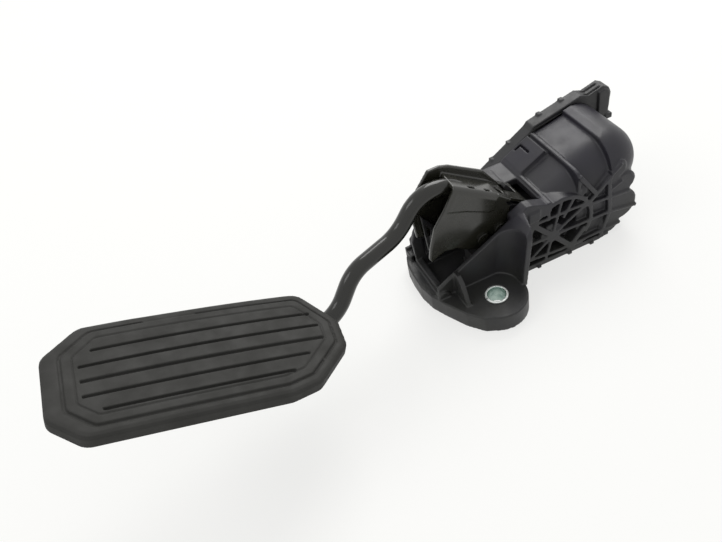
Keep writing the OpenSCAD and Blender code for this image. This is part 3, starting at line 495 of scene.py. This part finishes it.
def crowned(vertices):
    """Broadens the rim, arches the tread and bows the far edge out."""
    broad_rim(vertices)
    low = Vector([min(v.co[i] for v in vertices) for i in range(3)])
    high = Vector([max(v.co[i] for v in vertices) for i in range(3)])
    middle, half = (low + high) / 2, (high - low) / 2
    for vertex in vertices:
        along, across, up = [(vertex.co[i] - middle[i]) / half[i] for i in range(3)]
        arch = 1 - along * along
        vertex.co.z += CROWN * arch * (1 - CROWN_FALL * across * across) * (up + 1) / 2
        vertex.co.y += BOW * arch * max(0, across - BOW_FROM) / (1 - BOW_FROM)


pad_frame = Matrix.Translation(PAD_CORNER) @ Matrix.Rotation(PAD_TILT, 4, "Y")
rounded("pad_rubber", "rubber_pad", voxel=0.42 * mm, relax=4, keep=0.55,
        straighten=pad_frame, reshape=crowned)

# %% [markdown]
# The arm is bent up from sheet, so its edges are broken only a little; the sensor case and the
# housing are mouldings with a crisp but never sharp outline. The housing is the largest piece, so
# more of its small faces are joined again.

# %% Pressed arm, sensor case and housing
rounded("pressed_arm", "arm_pressing", voxel=0.36 * mm, relax=3, keep=0.5)
rounded("sensor_case", "sensor_cover", voxel=0.42 * mm, relax=3, keep=0.5)
rounded("housing_body", "housing_shell", voxel=0.42 * mm, relax=2, keep=0.27)

# %% [markdown]
# ## The rolled sleeves
# A strip of zinc-plated steel rolled into a tube and left with a slit protects each bolt ear. Its
# lips are rounded by rolling. A profile is turned round the bolt's axis, but not all the way: the
# slit stays open. The bore gets a finish of its own, a darker, bluish teal: painted shade in the
# hole.

# %% Two sleeves turned from one profile
SLEEVE_OUT, SLEEVE_IN = 6.0 * mm, 4.7 * mm      # radii
SLIT, SLIT_AT = 1.0 * mm, math.radians(178)     # width, and the side that it faces
FOOT_ROUND, LIP_ROUND = 0.2 * mm, 0.5 * mm      # radii of the rounded edges
FOOT_STEPS, LIP_STEPS, TURN_STEPS = 4, 8, 96
BORE_REACH = 0.3 * mm        # faces that lie within this distance of the bore belong to it
NEAR_EAR = 30 * mm          # the near sleeve lies within this distance of the origin


def arc(r, z, radius, start, steps):
    """A quarter of a circle round (r, z), from start in degrees on."""
    angles = [math.radians(start + 90 * i / steps) for i in range(steps + 1)]
    return [(r + radius * math.cos(a), z + radius * math.sin(a)) for a in angles]


def sleeve_profile(top):
    """The wall's outline as (radius, height), anticlockwise from the foot of the outside."""
    return (arc(SLEEVE_OUT - FOOT_ROUND, FOOT_ROUND, FOOT_ROUND, -90, FOOT_STEPS)
            + arc(SLEEVE_OUT - LIP_ROUND, top - LIP_ROUND, LIP_ROUND, 0, LIP_STEPS)
            + arc(SLEEVE_IN + LIP_ROUND, top - LIP_ROUND, LIP_ROUND, 90, LIP_STEPS)
            + arc(SLEEVE_IN + FOOT_ROUND, FOOT_ROUND, FOOT_ROUND, 180, FOOT_STEPS))


def add_sleeve(shape, centre, top):
    """Turns the profile round the axis at centre, from one side of the slit to the other."""
    profile = sleeve_profile(top)
    half_slit = math.asin(SLIT / (SLEEVE_OUT + SLEEVE_IN))
    start, sweep = SLIT_AT + half_slit, 2 * math.pi - 2 * half_slit
    rings = []
    for i in range(TURN_STEPS + 1):
        a = start + sweep * i / TURN_STEPS
        rings.append([shape.verts.new((centre[0] + r * math.cos(a), centre[1] + r * math.sin(a), z))
                      for r, z in profile])
    in_bore = [r < SLEEVE_IN + BORE_REACH for r, z in profile]
    for one, two in zip(rings, rings[1:]):
        for k in range(len(profile)):
            n = (k + 1) % len(profile)
            face = shape.faces.new((one[k], two[k], two[n], one[n]))
            face.smooth = True
            # index 1 is the bore, whose finish is painted shade
            face.material_index = 1 if in_bore[k] and in_bore[n] else 0
    shape.faces.new(rings[0])
    shape.faces.new(list(reversed(rings[-1])))


def rolled_sleeves():
    points = [v.co for v in nodes["ear_sleeves"].data.vertices]
    near = [p for p in points if p.length < NEAR_EAR]
    far = [p for p in points if p.length >= NEAR_EAR]
    middle = [(min(p[i] for p in far) + max(p[i] for p in far)) / 2 for i in (0, 1)]
    shape = bmesh.new()
    add_sleeve(shape, (0, 0), max(p.z for p in near))
    add_sleeve(shape, middle, max(p.z for p in far))
    bmesh.ops.recalc_face_normals(shape, faces=shape.faces)
    mesh = bpy.data.meshes.new("rolled_sleeves")
    shape.to_mesh(mesh)
    shape.free()
    obj = bpy.data.objects.new("rolled_sleeves", mesh)
    scene.collection.objects.link(obj)
    mesh.materials.append(looks["zinc_sleeve"])
    # the second material paints shade into the bore
    mesh.materials.append(looks["bore_painted_shade"])
    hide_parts("ear_sleeves")
    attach(obj, "housing")
    print("sleeve faces:", len(mesh.polygons))


rolled_sleeves()

# %% [markdown]
# ## The bent rod
# A round bar follows a path, which is just what Geometry Nodes do well: a line of six points is
# turned into a curve, its corners are rounded with the bending radius, and a circle is swept
# along it. The bending radius and the thickness are inputs of the tree. The springs below are
# swept in the same way, so the last steps of both trees are functions of their own.

# %% A tree that sweeps a round bar along a path
BEND_STEPS, BAR_SIDES = 14, 40


def new_tree(name, sockets):
    tree = bpy.data.node_groups.new(name, "GeometryNodeTree")
    tree.interface.new_socket("Geometry", in_out="INPUT", socket_type="NodeSocketGeometry")
    tree.interface.new_socket("Geometry", in_out="OUTPUT", socket_type="NodeSocketGeometry")
    for label, kind in sockets.items():
        tree.interface.new_socket(label, in_out="INPUT", socket_type="NodeSocket" + kind)
    return tree, tree.nodes.new("NodeGroupInput")


def swept_circle(tree, inp, curve, radius, sides):
    """Sweeps a circle along the curve and closes the ends; radius is the name of an input."""
    circle = tree.nodes.new("GeometryNodeCurvePrimitiveCircle")
    sweep = tree.nodes.new("GeometryNodeCurveToMesh")
    circle.inputs["Resolution"].default_value = sides
    sweep.inputs["Fill Caps"].default_value = True
    link(tree, inp, radius, circle, "Radius")
    link(tree, curve, 0, sweep, 0)
    link(tree, circle, 0, sweep, 1)
    return sweep


def end_tree(tree, inp, last):
    """Makes the geometry of the last node real, smooth and painted, and puts it out."""
    steps = [tree.nodes.new(kind) for kind in (
        "GeometryNodeRealizeInstances", "GeometryNodeSetShadeSmooth", "GeometryNodeSetMaterial")]
    for step in (*steps, tree.nodes.new("NodeGroupOutput")):
        link(tree, last, 0, step, 0)
        last = step
    link(tree, inp, "Material", steps[-1], "Material")


def run_tree(obj, tree, values):
    """Set the named inputs by their identifiers, evaluate, and keep a plain mesh."""
    modifier = obj.modifiers.new(tree.name, "NODES")
    modifier.node_group = tree
    ids = {item.name: item.identifier for item in tree.interface.items_tree
           if item.in_out == "INPUT"}
    for label, value in values.items():
        modifier[ids[label]] = value
    baked(obj)


def bar_tree():
    tree, inp = new_tree("swept_bar", {"Radius": "Float", "Bend Radius": "Float",
                                       "Material": "Material"})
    curve = tree.nodes.new("GeometryNodeMeshToCurve")
    fillet = tree.nodes.new("GeometryNodeFilletCurve")
    fillet.mode = "POLY"
    fillet.inputs["Count"].default_value = BEND_STEPS
    link(tree, inp, "Geometry", curve, 0)
    link(tree, curve, 0, fillet, 0)
    link(tree, inp, "Bend Radius", fillet, "Radius")
    end_tree(tree, inp, swept_circle(tree, inp, fillet, "Radius", BAR_SIDES))
    return tree


def path_object(name, points):
    """An object whose mesh is a line through the points."""
    mesh = bpy.data.meshes.new(name)
    mesh.from_pydata([tuple(p) for p in points], [(i, i + 1) for i in range(len(points) - 1)], [])
    obj = bpy.data.objects.new(name, mesh)
    scene.collection.objects.link(obj)
    return obj


swept_bar = bar_tree()

# %% The rod on its path
ROD_D, ROD_BEND = 8.5, 19                       # in mm, as all lengths of the path
PLATE_FOOT = -7             # w of the plate's underside, below the tread
WELD_SINK = 0.15            # how deep the rod sits in its weld


def on_pad(u, v, w):
    return pad_frame @ Vector((u * mm, v * mm, w * mm))


rod_depth = PLATE_FOOT - ROD_D / 2 + WELD_SINK
rod_path = [on_pad(64, 2.4, rod_depth),                 # under the middle of the plate
            on_pad(128.4, 17.8, rod_depth - 0.6),       # past the plate's end
            Vector((-66.4, 14.8, 51.4)) * mm,           # up from the pad
            Vector((-38, 25, 52.4)) * mm,               # level, towards the arm
            Vector((-17.0, 28.9, 75.0)) * mm,           # up to the crest
            Vector((9.9, 28, 51.1)) * mm]               # and down into the arm
rod = path_object("round_rod", rod_path)
run_tree(rod, swept_bar, {"Radius": ROD_D * mm / 2, "Bend Radius": ROD_BEND * mm,
                          "Material": looks["rod_lacquer"]})
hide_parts("bent_rod")
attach(rod, "lever")
print("rod faces:", len(rod.data.polygons))

# %% [markdown]
# ## The two coil springs
# Behind the hub two springs sit one in the other. A helix is a rule rather than a drawing: one
# tree makes the spiral from radius, turns and height, and sweeps the wire along it. The foot of
# each spring sits on its seat on the hub and the head under the roof of the housing.

# %% Springs from a helix
SPRING_FOOT, SPRING_HEAD = 23 * mm, 50 * mm
SPRING_AXIS = (80 * mm, 40.6 * mm)
SPRING_GAP = 0.02 * mm      # between a spring and what it rests on, at each end
TURN_POINTS, WIRE_SIDES = 40, 14


def spring_tree():
    tree, inp = new_tree("coil_spring", {"Radius": "Float", "Wire Radius": "Float",
                                         "Turns": "Float", "Height": "Float",
                                         "Place": "Vector", "Material": "Material"})
    helix = tree.nodes.new("GeometryNodeCurveSpiral")
    place = tree.nodes.new("GeometryNodeTransform")
    helix.inputs["Resolution"].default_value = TURN_POINTS
    link(tree, inp, "Turns", helix, "Rotations")
    link(tree, inp, "Radius", helix, "Start Radius")
    link(tree, inp, "Radius", helix, "End Radius")
    link(tree, inp, "Height", helix, "Height")
    link(tree, swept_circle(tree, inp, helix, "Wire Radius", WIRE_SIDES), 0, place, 0)
    link(tree, inp, "Place", place, "Translation")
    end_tree(tree, inp, place)
    return tree


coil_spring = spring_tree()


def coil(name, node, radius, wire, turns):
    obj = path_object(name, [])
    run_tree(obj, coil_spring, {
        "Radius": radius, "Wire Radius": wire / 2, "Turns": turns,
        "Height": SPRING_HEAD - SPRING_FOOT - wire - 2 * SPRING_GAP,
        "Place": (*SPRING_AXIS, SPRING_FOOT + wire / 2 + SPRING_GAP),
        "Material": looks["spring_steel"]})
    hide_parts(node)
    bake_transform(obj)
    print(name, "faces:", len(obj.data.polygons))


coil("outer_coil", "outer_spring", radius=8.6 * mm, wire=2.0 * mm, turns=5.0)
coil("inner_coil", "inner_spring", radius=5.0 * mm, wire=1.5 * mm, turns=6.0)
